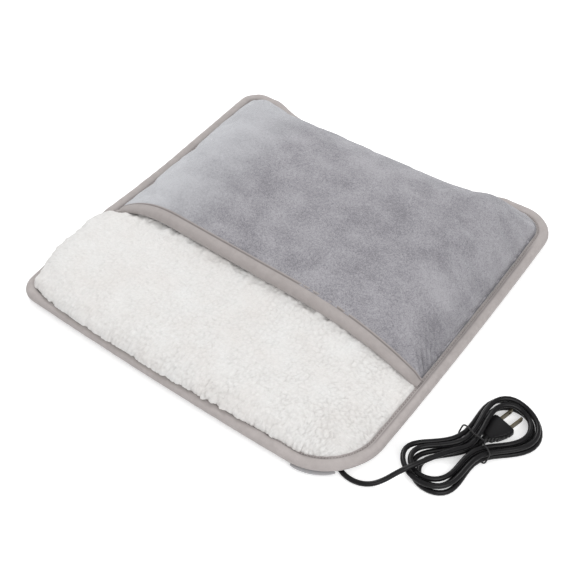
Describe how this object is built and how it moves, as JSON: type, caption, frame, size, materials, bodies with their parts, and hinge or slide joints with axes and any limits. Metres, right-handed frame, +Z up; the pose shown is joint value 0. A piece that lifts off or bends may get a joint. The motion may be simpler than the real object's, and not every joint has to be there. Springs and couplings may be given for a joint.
{
  "type": "electric foot warmer",
  "caption": "Square padded foot warmer: quilted heated base with a sherpa top, a puffed foot pocket over its back part, bound edges and a tied mains cord.",
  "frame": {"origin": "centre of the pad's outline, over its edge binding, on the flat underside", "axes": "+Z up from the underside; the pocket's mouth faces -Y; +X to the right, where the cord leaves by the front corner"},
  "size_m": [0.5143, 0.4153, 0.0665],
  "materials": {
    "underside_cloth": "plain grey cloth",
    "wadding": "white polyester wadding",
    "heater_felt": "off-white non-woven felt",
    "heating_wire": "red silicone insulation",
    "sherpa": "white curled pile",
    "flannel": "grey crushed short pile",
    "binding_tape": "taupe twill tape, stitched",
    "clamp_plastic": "off-white moulded plastic",
    "plated_steel": "zinc-plated",
    "core_live": "brown insulation",
    "core_neutral": "blue insulation",
    "tinned_copper": "tinned copper, satin",
    "shrink_sleeve": "milky heat-shrink sleeve",
    "cord_jacket": "black, satin",
    "plug_rubber": "black moulded, matte",
    "blade_nickel": "nickel-plated brass",
    "tie_coating": "black plastic-coated wire"
  },
  "bodies": {
    "pad_base": {"bottom_panel": "underside_cloth", "base_wadding": "wadding", "top_wadding": "wadding", "sherpa_base": "sherpa", "edge_binding": "binding_tape", "heater_felt_lower": "heater_felt", "heater_felt_upper": "heater_felt", "heating_wire": "heating_wire", "cord_clamp_lower": "clamp_plastic", "cord_clamp_upper": "clamp_plastic", "clamp_screw_left": "plated_steel", "clamp_screw_right": "plated_steel", "cord_core_live": "core_live", "cord_core_neutral": "core_neutral", "crimp_splice_live": "tinned_copper", "crimp_splice_neutral": "tinned_copper", "thermostat": "plated_steel", "thermostat_sleeve": "shrink_sleeve", "thermal_fuse": "tinned_copper", "fuse_sleeve": "shrink_sleeve", "cord_lead": "cord_jacket", "cord_hank": "cord_jacket", "twist_tie": "tie_coating", "plug_body": "plug_rubber", "plug_neck": "plug_rubber", "plug_blade_left": "blade_nickel", "plug_blade_right": "blade_nickel"},
    "pocket_cover": {"pocket_lining": "sherpa", "cover_wadding": "wadding", "flannel_cover": "flannel", "mouth_binding": "binding_tape"}
  },
  "joints": [
    {"name": "pocket_open", "type": "hinge", "parent": "pad_base", "child": "pocket_cover", "pos_m": [0, 0.1945, 0.0131], "axis": [-1, 0, 0], "range_deg": [0, 16]}
  ]
}
